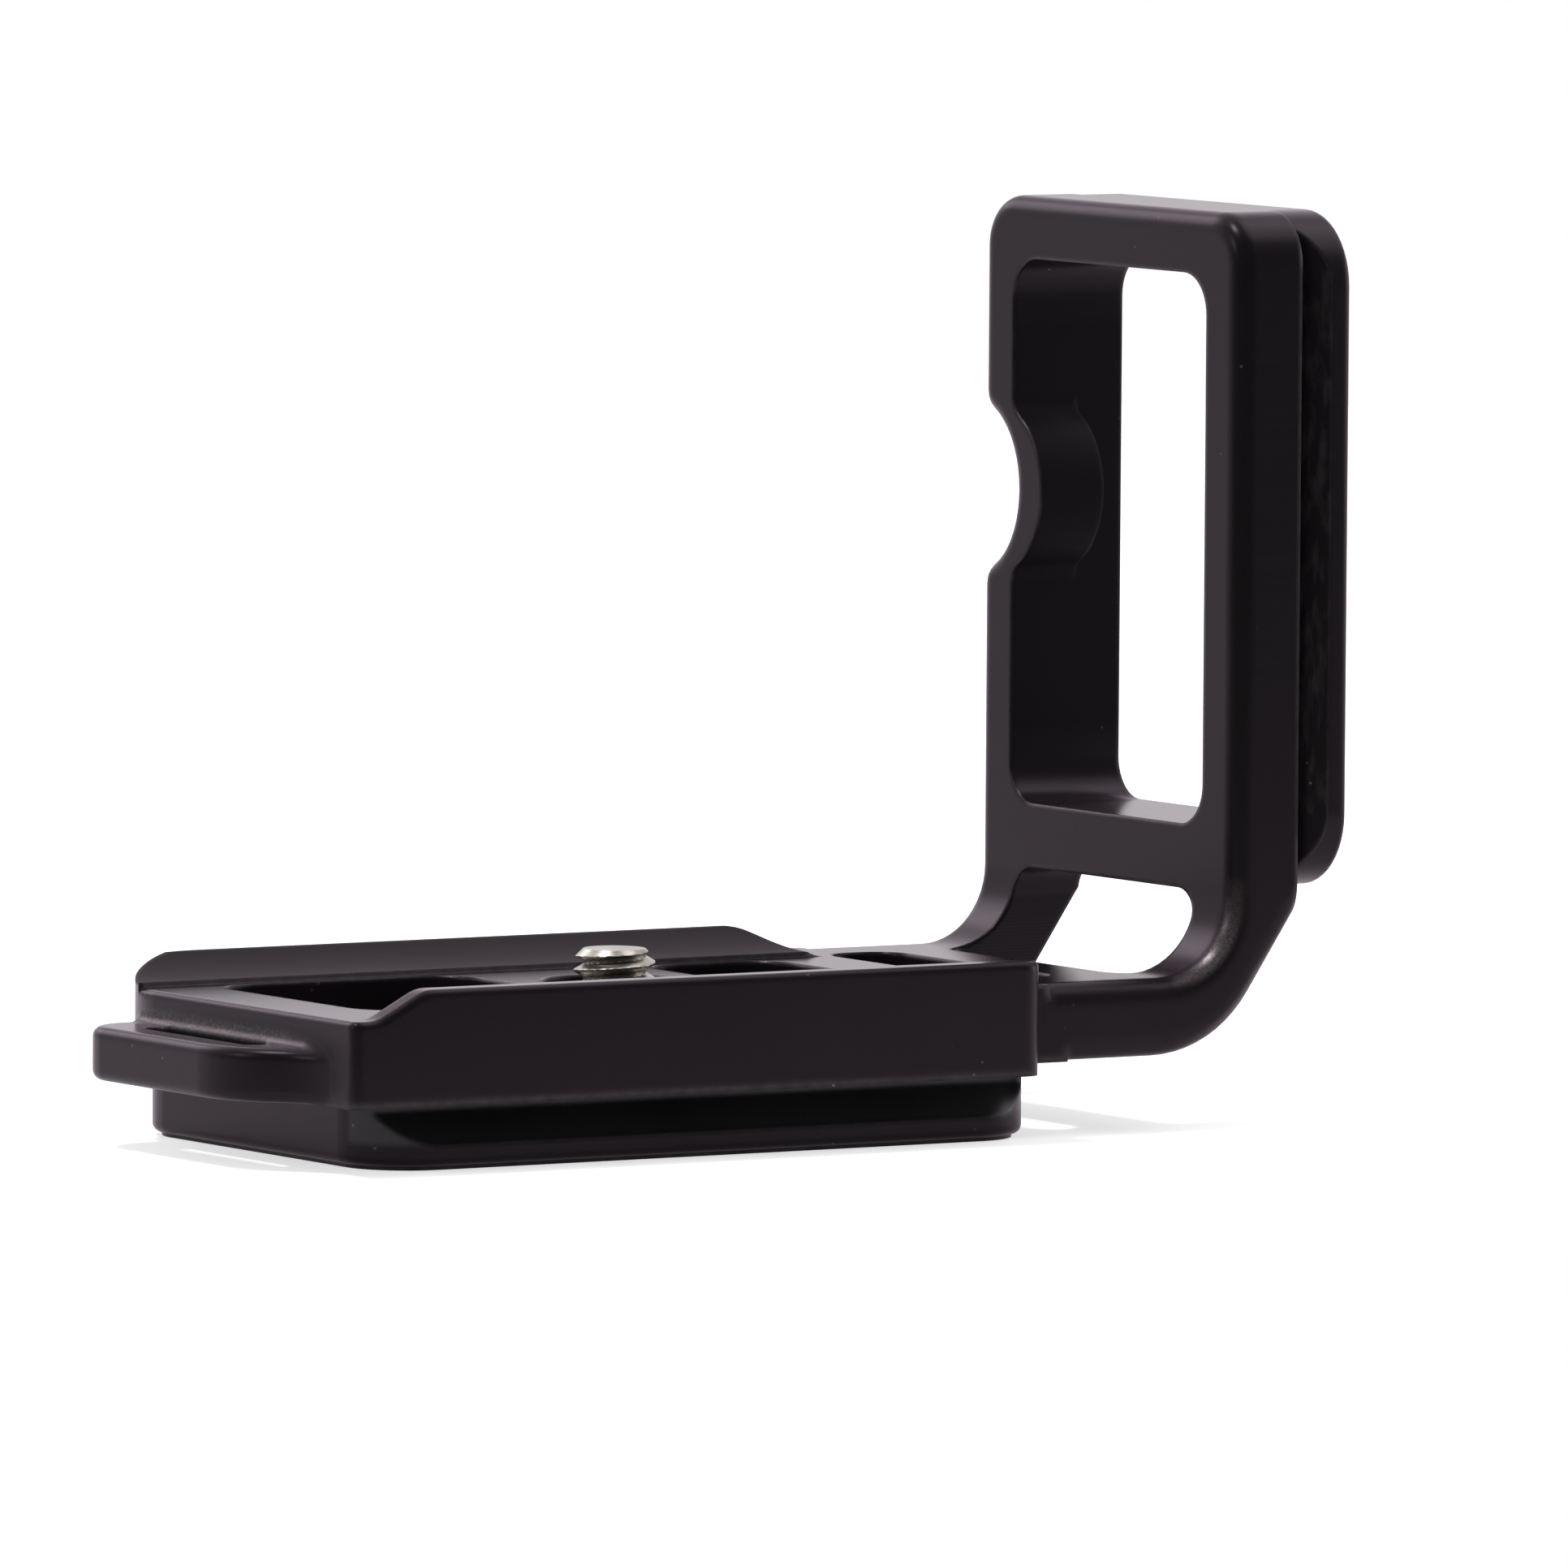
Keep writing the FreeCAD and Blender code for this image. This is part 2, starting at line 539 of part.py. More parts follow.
def draw_block_plan(sketch, right):
    """Plan of the block up to an expression along X: a box whose far left corner is round."""
    left, low, high, radius = "-Sizes.block_left", f"-{BLOCK_NEAR}", HALF_BODY, "Sizes.block_far_corner"
    arc_low, arc_high = (left, f"{high} - {radius}"), (f"{left} + {radius}", high)
    places = [arc_low, (left, low), (right, low), (right, high), arc_high]
    for number in range(len(places) - 1):
        start, end = places[number:number + 2]
        sketch.addGeometry(Part.LineSegment(point_at(sketch, start), point_at(sketch, end)), False)
        pin(sketch, number, 1, start)
        if number:
            sketch.addConstraint(Sketcher.Constraint("Coincident", number - 1, 2, number, 1))
    last = len(places) - 2
    pin(sketch, last, 2, places[-1])
    arc = draw_arc(sketch, (f"{left} + {radius}", f"{high} - {radius}"), radius, math.pi / 2, math.pi)
    sketch.addConstraint(Sketcher.Constraint("Coincident", last, 2, arc, 1))
    sketch.addConstraint(Sketcher.Constraint("Coincident", arc, 2, 0, 1))


def build_block(body):
    """Base block: the loop's hollow seat, deck, lips and the far lip's strip, with rounded corners."""
    plan = new_sketch(body, "BlockPlan", "XY_Plane", "Sizes.block_bottom")
    draw_block_plan(plan, "Sizes.block_right")
    pad(body, plan, "Block", "Sizes.deck_height - Sizes.block_bottom")
    fillet(body, "LoopSeat", "Sizes.loop_seat", lambda p, d, e: abs(d.y) > 0.99
           and near(p.x, -SIZES["block_left"]) and near(p.z, loop_top))

    strip = new_sketch(body, "FarStripPlan", "XY_Plane", "Sizes.block_bottom")
    draw_box(strip, RIGHT_WINDOW_END, FAR_LIP_END, FAR_LIP_FACE, HALF_BODY)
    pad(body, strip, "FarStrip", "Sizes.deck_height - Sizes.block_bottom")
    for name, start, height in (("TopRimStart", "Sizes.top_rim_start", "Sizes.foot_thickness"),
                                ("BottomRimStart", "Sizes.bottom_rim_start", "Sizes.arm_edge_round")):
        root = new_sketch(body, f"{name}Plan", "XY_Plane", FOOT_BOTTOM)
        draw_box(root, RIGHT_WINDOW_END, f"Sizes.block_right + {start}", f"-{HALF_BODY}", HALF_BODY)
        pad(body, root, name, height)

    far_lip = new_sketch(body, "FarLipPlan", "XY_Plane", "Sizes.deck_height")
    draw_block_plan(far_lip, FAR_LIP_END)
    pad(body, far_lip, "FarLip", "Sizes.far_lip_height")
    trim = new_sketch(body, "DeckPlan", "XY_Plane", FAR_LIP_TOP)
    draw_box(trim, LOOP_LEFT, f"{FAR_LIP_END} + Sizes.far_ramp_length",
             f"-{BLOCK_NEAR} - Sizes.near_lip_width", FAR_LIP_FACE)
    pocket(body, trim, "Deck", "Sizes.far_lip_height")
    ramp = new_sketch(body, "FarRampSide", "XZ_Plane", f"-{HALF_BODY}")
    draw_outline(ramp, [
        ("Sizes.far_ramp_foot", "Sizes.deck_height"),
        (f"{FAR_LIP_END} + Sizes.far_ramp_length", "Sizes.deck_height"),
        (f"{FAR_LIP_END} + Sizes.far_ramp_length", FAR_LIP_TOP),
        ("Sizes.far_ramp_foot - Sizes.far_ramp_length", FAR_LIP_TOP),
    ])
    pocket(body, ramp, "FarRamp", "Sizes.far_lip_width", reverse=True)

    near_lip = new_sketch(body, "NearLipSide", "XZ_Plane", BLOCK_NEAR)
    draw_outline(near_lip, [
        (NEAR_RAMP_FOOT, "Sizes.deck_height"),
        ("Sizes.block_right", "Sizes.deck_height"),
        ("Sizes.block_right", LIP_TOP),
        (f"{NEAR_RAMP_FOOT} + Sizes.near_ramp_length", LIP_TOP),
    ])
    pad(body, near_lip, "NearLip", "Sizes.near_lip_width", reverse=True)

    ramp_feet = (near_ramp_foot, SIZES["far_ramp_foot"])
    ramp_tops = ((near_ramp_foot + SIZES["near_ramp_length"], lip_top),
                 (SIZES["far_ramp_foot"] - SIZES["far_ramp_length"], far_lip_top))

    def ramp_edge(point, along, edge):
        """Edges across a lip, at the foot and at the top of its ramp."""
        at_foot = near(point.z, SIZES["deck_height"]) and any(near(point.x, x) for x in ramp_feet)
        at_top = any(near(point.x, x) and near(point.z, z) for x, z in ramp_tops)
        return abs(along.y) > 0.99 and (at_foot or at_top)

    fillet(body, "RampRounds", "Sizes.ramp_round", ramp_edge)

    corners = (
        ("NearCorner", "Sizes.block_near_corner", -SIZES["block_left"], -block_near),
        ("EndRound", "Sizes.block_end_round", SIZES["block_right"], -block_near),
    )
    for name, radius, x, y in corners:
        fillet(body, name, radius, lambda p, d, e: abs(d.z) > 0.99 and near(p.x, x) and near(p.y, y))

    cove = new_sketch(body, "CoveCircle", "YZ_Plane", FAR_LIP_END)
    draw_circle(cove, (FAR_LIP_FACE, f"Sizes.deck_height + Sizes.far_lip_wall + {COVE_RADIUS}"), COVE_RADIUS)
    pocket(body, cove, "Cove", f"{FAR_LIP_END} + Sizes.block_left")

    def near_rim(point, along, edge):
        """Upper rim of the block's near face, ramp included."""
        above = point.z > SIZES["deck_height"] - 0.01
        return near(point.y, -block_near) and above and abs(along.z) < 0.9

    fillet(body, "NearRim", "Sizes.block_edge_round", near_rim)


def build_strap_slot(body):
    """The strap's slot, beside the hollow round where the loop meets the block's end."""
    slot = new_sketch(body, "StrapSlot", "XY_Plane", f"{LOOP_TOP} + Sizes.loop_seat")
    draw_rounded_box(slot, f"{LOOP_LEFT} + Sizes.strap_bar", "-Sizes.block_left - Sizes.strap_slot_gap",
                     f"Sizes.strap_slot_near_rim - {LOOP_NEAR}", f"{LOOP_FAR} - Sizes.strap_slot_far_rim",
                     "Sizes.strap_slot_corner")
    pocket(body, slot, "StrapSlotCut", "Sizes.loop_thickness + Sizes.loop_seat")


def build_deck_openings(body):
    """Two windows through the deck and the sole, and a slot across the foot."""
    windows = new_sketch(body, "DeckWindows", "XY_Plane", LIP_TOP)
    for left, right in ((LEFT_WINDOW_END, "-Sizes.web_half"), ("Sizes.web_half", RIGHT_WINDOW_END)):
        draw_rounded_box(windows, left, right, f"Sizes.window_near_margin - {BLOCK_NEAR}",
                         f"{FAR_LIP_FACE} - Sizes.window_far_margin", "Sizes.window_corner")
    pocket(body, windows, "DeckWindowsCut", f"{LIP_TOP} + Sizes.near_lip_height")

    slot = new_sketch(body, "FootSlot", "XY_Plane", "Sizes.deck_height")
    draw_rounded_box(slot, SLOT_LEFT, f"{SLOT_LEFT} + Sizes.slot_width", f"-{SLOT_HALF}", SLOT_HALF,
                     "Sizes.slot_corner")
    pocket(body, slot, "FootSlotCut", "Sizes.foot_thickness")


def build_screw_bore(body):
    """Stepped bore for the captive screw: head counterbore, shank bore, tapped land and top recess."""
    profile = new_sketch(body, "BoreProfile", "XZ_Plane")
    head = "Sizes.head_diameter / 2 + Sizes.head_clearance"
    shank = "Sizes.thread_diameter / 2 + Sizes.shank_clearance"
    seat = "Sizes.head_recess + Sizes.head_thickness + Sizes.head_seat_gap"
    draw_outline(profile, [
        ("0", "-Sizes.head_thickness"), (head, "-Sizes.head_thickness"), (head, seat), (shank, seat),
        (shank, LAND_BOTTOM), ("Sizes.land_bore / 2", LAND_BOTTOM), ("Sizes.land_bore / 2", LAND_TOP),
        ("Sizes.recess_diameter / 2", LAND_TOP), ("Sizes.recess_diameter / 2", LIP_TOP), ("0", LIP_TOP),
    ])
    before = body.Shape.Volume
    spin(body, profile, "PartDesign::Groove", "ScrewBore")
    if body.Shape.Volume > before - 1e-3:
        raise RuntimeError("ScrewBore cut nothing")


def build_screw(body):
    """Captive camera screw: socket head, shank, reduced neck and the camera thread."""
    profile = new_sketch(body, "ScrewProfile", "XZ_Plane")
    thread = "Sizes.thread_diameter / 2"
    head_top = "Sizes.head_recess + Sizes.head_thickness"
    tip = "Sizes.deck_height + Sizes.screw_rise"
    neck_low, neck_high = f"{LAND_BOTTOM} - Sizes.neck_play", f"{LAND_TOP} + Sizes.neck_play"
    draw_outline(profile, [
        ("0", "Sizes.head_recess"), ("Sizes.head_diameter / 2", "Sizes.head_recess"),
        ("Sizes.head_diameter / 2", head_top), (thread, head_top),
        (thread, neck_low), ("Sizes.neck_diameter / 2", neck_low),
        ("Sizes.neck_diameter / 2", neck_high), (thread, neck_high),
        (thread, f"{tip} - Sizes.tip_chamfer"), (f"{thread} - Sizes.tip_chamfer", tip), ("0", tip),
    ])
    spin(body, profile, "PartDesign::Revolution", "ScrewBody")

    socket = new_sketch(body, "Socket", "XY_Plane", "Sizes.head_recess")
    corner = "Sizes.socket_flats / sqrt(3)"
    draw_outline(socket, [(f"{corner} * cos({angle} deg)", f"{corner} * sin({angle} deg)")
                          for angle in range(0, 360, 60)])
    pocket(body, socket, "SocketCut", "Sizes.socket_depth", reverse=True)


def check(doc, bodies):
    """Stop if any feature failed or a body has no sound shape."""
    for item in doc.Objects:
        if "Invalid" in item.State or "Error" in item.State:
            raise RuntimeError(f"{item.Name} is {item.State}")
    for body in bodies:
        if body.Shape.isNull() or not body.Shape.isValid():
            raise RuntimeError(f"{body.Label} has no valid shape")


def main():
    doc = FreeCAD.newDocument("l_bracket")
    make_sheet(doc)
    plate = doc.addObject("PartDesign::Body", "Plate")
    plate.Label = "l_plate"
    for build in (build_bent_body, build_arm_openings, build_arm_dovetail, build_base_dovetail,
                  build_loop, build_block, build_strap_slot, build_deck_openings, build_screw_bore):
        build(plate)
    screw = doc.addObject("PartDesign::Body", "Screw")
    screw.Label = "camera_screw"
    build_screw(screw)

    bodies = (plate, screw)
    for body in bodies:
        body.Placement = FreeCAD.Placement()
    doc.recompute()
    check(doc, bodies)
    os.makedirs("parts", exist_ok=True)
    for body in bodies:
        body.Shape.exportStep(f"parts/{body.Label}.step")


main()
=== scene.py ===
"""Looks of the camera L-bracket: black anodised plate, threaded steel screw, white studio table."""
import math

import bpy
from mathutils import Matrix, Vector


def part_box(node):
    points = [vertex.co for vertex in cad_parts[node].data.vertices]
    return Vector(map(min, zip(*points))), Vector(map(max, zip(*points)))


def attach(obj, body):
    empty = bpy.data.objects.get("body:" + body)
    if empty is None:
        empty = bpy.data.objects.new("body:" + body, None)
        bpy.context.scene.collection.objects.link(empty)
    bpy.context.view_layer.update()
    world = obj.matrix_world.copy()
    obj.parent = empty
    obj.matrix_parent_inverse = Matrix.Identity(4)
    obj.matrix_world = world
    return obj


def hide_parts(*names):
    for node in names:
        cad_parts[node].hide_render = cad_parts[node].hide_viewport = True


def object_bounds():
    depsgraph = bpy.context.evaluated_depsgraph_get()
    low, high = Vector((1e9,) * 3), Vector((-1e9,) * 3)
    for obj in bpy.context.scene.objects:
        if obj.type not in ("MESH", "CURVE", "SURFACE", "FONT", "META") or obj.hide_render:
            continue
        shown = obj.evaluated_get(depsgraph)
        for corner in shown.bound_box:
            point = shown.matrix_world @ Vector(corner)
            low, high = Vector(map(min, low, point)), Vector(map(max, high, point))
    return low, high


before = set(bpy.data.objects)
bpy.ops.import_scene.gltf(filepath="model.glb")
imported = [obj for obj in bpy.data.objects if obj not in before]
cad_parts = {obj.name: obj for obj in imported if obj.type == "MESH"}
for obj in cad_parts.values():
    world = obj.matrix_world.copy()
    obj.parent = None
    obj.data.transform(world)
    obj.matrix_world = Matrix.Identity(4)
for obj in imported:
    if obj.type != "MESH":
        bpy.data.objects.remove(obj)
cad_low, cad_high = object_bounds()

MM = 0.001

# Camera: where it stands and its three axes, fitted to the picture
CAMERA_PLACE = Vector((-798.025, -1313.122, 147.395)) * MM
CAMERA_RIGHT = Vector((0.850429, -0.526047, 0.006786))
CAMERA_UP = Vector((0.035339, 0.069990, 0.996922))
CAMERA_BACK = Vector((-0.524902, -0.847571, 0.078111))
LENS = 461.907
SENSOR = 36.0
NEAREST = 0.05
FARTHEST = 60.0

# Room that gloss mirrors: its level in front of the object and behind it, and where on the view each holds
FRONT_LEVEL = 0.15
BACK_LEVEL = 1.0
FRONT_END = -0.45
BACK_START = 0.25

# Level of the room's scattered light, and the white that the camera sees behind everything
ROOM_LEVEL = 0.35
BACKDROP_LEVEL = 1.0

# Table: its own share of white for the camera and for gloss, and its reach in metres, square to the camera
TABLE_GLOW = 0.62
TABLE_MIRROR_GLOW = 0.38
TABLE_SIDE = 1.0
TABLE_FRONT = -0.085
TABLE_BACK = 0.95
TABLE_DROP = 0.02 * MM
TABLE_COLOURS = ((0.80, 0.80, 0.80, 1.0), (0.82, 0.82, 0.82, 1.0))
TABLE_ROUGHNESS = 0.9
PAPER_SCALE = 40.0

# Lamps: name, place and size in metres, power in watts
LAMPS = (
    ("overhead", (-0.40, 0.05, 1.10), 0.11, 5.5),
    ("left", (-1.1, 0.1, 0.60), 0.28, 1.5),
    ("back", (-0.2, 1.0, 0.60), 0.50, 2.0),
    ("top", (0.52, -0.10, 0.85), 0.70, 2.6),
    ("right", (1.05, -0.30, 0.12), 0.50, 2.0),
)
LAMP_AIM = Vector((0.0, 0.0, 0.03))

# Places on the plate, each a box in millimetres: low corner, high corner, and how far its sides fade
HOLLOW_BOX = ((-40.0, 11.0, 12.1), (30.0, 20.0, 15.0), (0.1, 0.1, 0.1))
# The arm window's far wall gets painted shade, and is duller and less glossy
WINDOW_WALL_BOX = ((44.8, 9.0, 26.5), (54.6, 14.1, 62.5), (0.1, 0.1, 2.5))
ARM_GROOVE_BOX = ((50.5, -19.5, 24.0), (52.9, -16.0, 66.0), (0.1, 0.1, 0.1))
# The base's near groove gets painted light: lighter inside, in cloudy patches
BASE_GROOVE_BOX = ((-33.0, -19.5, 2.0), (26.0, -14.5, 5.3), (1.5, 0.3, 0.3))
LOOP_SEAM_BOX = ((-37.2, -13.0, 9.2), (-35.9, 11.0, 10.4), (0.2, 1.5, 0.3))
# The bend's near rim gets a painted highlight
BEND_RIM_BOX = ((41.0, -19.0, 9.0), (46.5, -15.5, 16.0), (2.0, 0.5, 3.5))
BEND_WALL_BOX = ((34.0, 12.0, 4.0), (52.0, 13.6, 14.5), (0.1, 0.1, 1.0))

# Edges softer than the rest: foot and bend's near side, then the block's near bottom and right edges
SOFT_EDGE_FADE = (0.4, 0.4, 0.8)
SOFT_EDGE_BOXES = (
    ((25.8, -19.5, 4.5), (51.5, -15.0, 18.0), SOFT_EDGE_FADE),
    ((-37.0, -23.0, 4.5), (26.0, -20.5, 6.6), SOFT_EDGE_FADE),
    ((23.8, -23.0, 4.5), (26.0, -20.0, 13.5), SOFT_EDGE_FADE),
)
EDGE_RADIUS = 0.55 * MM
SOFT_EDGE_RADIUS = 1.30 * MM
EDGE_SAMPLES = 8

# Colours of the anodised plate
DYE_COLOURS = ((0.0152, 0.0121, 0.0147, 1.0), (0.0196, 0.0157, 0.0190, 1.0))
# Painted shade: the arm window's far wall is coloured darker than the dye
WINDOW_WALL_SHADE_COLOUR = (0.0110, 0.0096, 0.0114, 1.0)
# Painted light: colour that lightens the inside of the base's near groove
GROOVE_LIGHT_COLOUR = (0.070, 0.068, 0.072, 1.0)
LINE_COLOUR = (0.030, 0.027, 0.029, 1.0)
# Painted highlight: colour of the grainy glint on the bend's near rim
RIM_HIGHLIGHT_COLOUR = (0.180, 0.154, 0.160, 1.0)
# Edge colour: partly wear, partly a painted highlight along the edges
WEAR_AND_HIGHLIGHT_COLOUR = (0.086, 0.076, 0.081, 1.0)
SCUFF_COLOUR = (0.26, 0.25, 0.25, 1.0)
SEAM_COLOUR = (0.20, 0.18, 0.16, 1.0)
DUST_COLOUR = (0.30, 0.28, 0.27, 1.0)

# Sheen of the anodised plate
SHEEN_TINT = (0.97, 0.86, 0.95, 1.0)
METAL_SHARE = 0.6
GLOSS_LEVEL = 0.12
WINDOW_WALL_GLOSS = 0.07
FLAT_ROUGHNESS = 0.21
DULL_ROUGHNESS = 0.62
DUST_ROUGHNESS = 0.8

# Pattern scales on the plate; a larger scale is a finer pattern
CLOUD_SCALE = 60.0
STREAK_SCALE = 400.0
STREAK_STRETCH = (0.12, 6.0, 6.0)
GRAIN_SCALE = 5200.0
WEAR_AND_HIGHLIGHT_SCALE = 900.0
DUST_SCALE = 520.0
DUST_PATCH_SCALE = 130.0
SCUFF_SCALE = 1500.0
SCUFF_STRETCH = (1.0, 1.0, 0.25)
SEAM_SCALE = 3800.0
LINE_SCALE = 1150.0
LINE_WOBBLE = 1.2

# How a pattern is mapped: its low and its high, then the values given to them
EDGE_LEVELS = (0.90, 0.995, 1.0, 0.0)
WEAR_AND_HIGHLIGHT_LEVELS = (0.30, 0.70, 0.20, 0.50)
SPECK_LEVELS = (0.05, 0.09, 1.0, 0.0)
DUST_PATCH_LEVELS = (0.56, 0.66, 0.0, 0.55)
SCUFF_LEVELS = (0.46, 0.72, 0.0, 0.10)
SEAM_LEVELS = (0.42, 0.66, 0.05, 0.26)
GROOVE_LIGHT_LEVELS = (0.30, 0.70, 0.35, 0.65)
RIM_NEAR_LEVELS = (-0.98, -0.85, 0.0, 1.0)
RIM_INNER_LEVELS = (-0.35, -0.10, 1.0, 0.0)
RIM_HIGHLIGHT_LEVELS = (0.30, 0.65, 0.45, 1.0)
LINE_LEVELS = (0.4, 0.9, 0.0, 0.28)
FLAT_LEVELS = (0.90, 0.98, 0.0, 1.0)
SATIN_LEVELS = (0.25, 0.75, 0.28, 0.33)

# Bumps, each a strength and a height
STREAK_BUMP = (0.05, 0.002 * MM)
GRAIN_BUMP = (0.18, 0.006 * MM)
TURNING_BUMP = (0.2, 0.004 * MM)

# Steel of the screw
STEEL_COLOURS = ((0.27, 0.24, 0.215, 1.0), (0.48, 0.44, 0.40, 1.0))
STAIN_SCALE = 420.0
TURNING_SCALE = 900.0
TURNING_STRETCH = (0.4, 0.4, 9.0)
TURNING_LEVELS = (0.3, 0.7, 0.22, 0.40)

# Screw, in millimetres; the neck is measured down from the tip
THREAD_RADIUS = 3.15
THREAD_PITCH = 1.27
THREAD_DEPTH = 0.72
CREST_SHARE = 0.12
FLANK_SHARE = 0.66
THREAD_STEPS = 64
HEAD_RADIUS = 6.0
HEAD_HEIGHT = 3.0
HEAD_CHAMFER = 0.3
SOCKET_DEPTH = 2.0
SOCKET_HALF_FLATS = 2.0
NECK_RADIUS = 2.5
NECK_START = 5.1
NECK_END = 3.1
TIP_CHAMFER = 0.75
SCREW_SEGMENTS = 96
SHARP_ANGLE = math.radians(32)


def link(tree, source, target):
    """Join two sockets of a node tree."""
    tree.links.new(source, target)


def add_node(tree, kind, **values):
    """New node with its unlinked inputs set by name."""
    node = tree.nodes.new(kind)
    for name, value in values.items():
        node.inputs[name].default_value = value
    return node


def new_material(name):
    """Empty node material with its tree, its Principled shader and the object's own coordinates."""
    material = bpy.data.materials.new(name)
    material.use_nodes = True
    tree = material.node_tree
    tree.nodes.clear()
    output = tree.nodes.new("ShaderNodeOutputMaterial")
    shader = tree.nodes.new("ShaderNodeBsdfPrincipled")
    link(tree, shader.outputs["BSDF"], output.inputs["Surface"])
    coordinates = tree.nodes.new("ShaderNodeTexCoord").outputs["Object"]
    return material, tree, shader, coordinates


def noise(tree, coordinates, scale, stretch=(1.0, 1.0, 1.0), detail=3.0):
    """Noise over the object's own coordinates, finer along the axes with a large stretch."""
    mapping = add_node(tree, "ShaderNodeMapping", Scale=stretch)
    link(tree, coordinates, mapping.inputs["Vector"])
    texture = add_node(tree, "ShaderNodeTexNoise", Scale=scale, Detail=detail)
    link(tree, mapping.outputs["Vector"], texture.inputs["Vector"])
    return texture.outputs["Fac"]


def spread(tree, value, low, high, to_low, to_high):
    """Map a value from one range to another, clamped."""
    node = tree.nodes.new("ShaderNodeMapRange")
    for name, number in (("From Min", low), ("From Max", high), ("To Min", to_low), ("To Max", to_high)):
        node.inputs[name].default_value = number
    link(tree, value, node.inputs["Value"])
    return node.outputs["Result"]


def times(tree, first, second):
    """Product of two varying values."""
    node = tree.nodes.new("ShaderNodeMath")
    node.operation = "MULTIPLY"
    link(tree, first, node.inputs[0])
    link(tree, second, node.inputs[1])
    return node.outputs["Value"]


def dot_product(tree, first):
    """Dot product node with its first vector linked; the second is left to set or link."""
    node = tree.nodes.new("ShaderNodeVectorMath")
    node.operation = "DOT_PRODUCT"
    link(tree, first, node.inputs[0])
    return node


def mixed_colour(tree, factor, first, second):
    """Colour that goes from the first, a socket or a colour, to the second colour with a varying factor."""
    node = tree.nodes.new("ShaderNodeMix")
    node.data_type = "RGBA"
    link(tree, factor, node.inputs["Factor"])
    if isinstance(first, tuple):
        node.inputs[6].default_value = first
    else:
        link(tree, first, node.inputs[6])
    node.inputs[7].default_value = second
    return node.outputs[2]


def mixed_value(tree, factor, first, second):
    """Value that goes from a socket to a number with a varying factor."""
    node = tree.nodes.new("ShaderNodeMix")
    link(tree, factor, node.inputs["Factor"])
    link(tree, first, node.inputs[2])
    node.inputs[3].default_value = second
    return node.outputs[0]


def bump(tree, height, strength, distance, normal=None):
    """Bump on top of an optional earlier normal."""
    node = add_node(tree, "ShaderNodeBump", Strength=strength, Distance=distance)
    link(tree, height, node.inputs["Height"])
    if normal is not None:
        link(tree, normal, node.inputs["Normal"])
    return node.outputs["Normal"]


def inside_box(tree, coordinates, box):
    """One inside a box of the object's own coordinates, fading to zero at its sides."""
    axes = tree.nodes.new("ShaderNodeSeparateXYZ")
    link(tree, coordinates, axes.inputs["Vector"])
    mask = None
    for axis, start, end, fade in zip("XYZ", *box):
        for side, begin, finish in ((start, 0.0, 1.0), (end, 1.0, 0.0)):
            step = spread(tree, axes.outputs[axis], (side - fade) * MM, (side + fade) * MM, begin, finish)
            mask = step if mask is None else times(tree, mask, step)
    return mask


def rounded_normal(tree, coordinates):
    """Normal that shades edges as slightly rounded, more so at the soft edges."""
    node = tree.nodes.new("ShaderNodeBevel")
    node.samples = EDGE_SAMPLES
    places = [inside_box(tree, coordinates, box) for box in SOFT_EDGE_BOXES]
    radius = spread(tree, places[0], 0.0, 1.0, EDGE_RADIUS, SOFT_EDGE_RADIUS)
    for place in places[1:]:
        radius = mixed_value(tree, place, radius, SOFT_EDGE_RADIUS)
    link(tree, radius, node.inputs["Radius"])
    return node.outputs["Normal"]


def edge_wear_and_highlight(tree, coordinates, rounded, normal, window_wall):
    """Patchy lighter edges where the rounded normal leaves the surface's own, partly wear and partly a
    painted highlight, but not on the window's far wall.
    """
    turn = dot_product(tree, rounded)
    link(tree, normal, turn.inputs[1])
    edge = spread(tree, turn.outputs["Value"], *EDGE_LEVELS)
    # Lighter edges: partly wear, partly a painted highlight
    wear = times(tree, edge, spread(tree, noise(tree, coordinates, WEAR_AND_HIGHLIGHT_SCALE), *WEAR_AND_HIGHLIGHT_LEVELS))
    return times(tree, wear, spread(tree, window_wall, 0.0, 1.0, 1.0, 0.0))


def loose_dust(tree, coordinates):
    """Small specks in scattered patches."""
    cells = add_node(tree, "ShaderNodeTexVoronoi", Scale=DUST_SCALE)
    link(tree, coordinates, cells.inputs["Vector"])
    speck = spread(tree, cells.outputs["Distance"], *SPECK_LEVELS)
    patches = spread(tree, noise(tree, coordinates, DUST_PATCH_SCALE), *DUST_PATCH_LEVELS)
    return times(tree, speck, patches)


def pattern_in_box(tree, coordinates, box, pattern, levels):
    """Pattern mapped by its levels and kept to one box."""
    return times(tree, spread(tree, pattern, *levels), inside_box(tree, coordinates, box))


def painted_rim_highlight(tree, coordinates, sideways, grain):
    """Painted highlight: a grainy lighter patch on the bend's near rim, between its side and its inner
    face.
    """
    rim = times(tree, spread(tree, sideways, *RIM_NEAR_LEVELS), spread(tree, sideways, *RIM_INNER_LEVELS))
    rim_glint = times(tree, rim, inside_box(tree, coordinates, BEND_RIM_BOX))
    return times(tree, rim_glint, spread(tree, grain, *RIM_HIGHLIGHT_LEVELS))


def milling_lines(tree, coordinates):
    """Fine level lines that an end mill left on the bend window's far wall."""
    wave = add_node(tree, "ShaderNodeTexWave", Scale=LINE_SCALE, Distortion=LINE_WOBBLE)
    wave.bands_direction = "Z"
    link(tree, coordinates, wave.inputs["Vector"])
    return pattern_in_box(tree, coordinates, BEND_WALL_BOX, wave.outputs["Fac"], LINE_LEVELS)


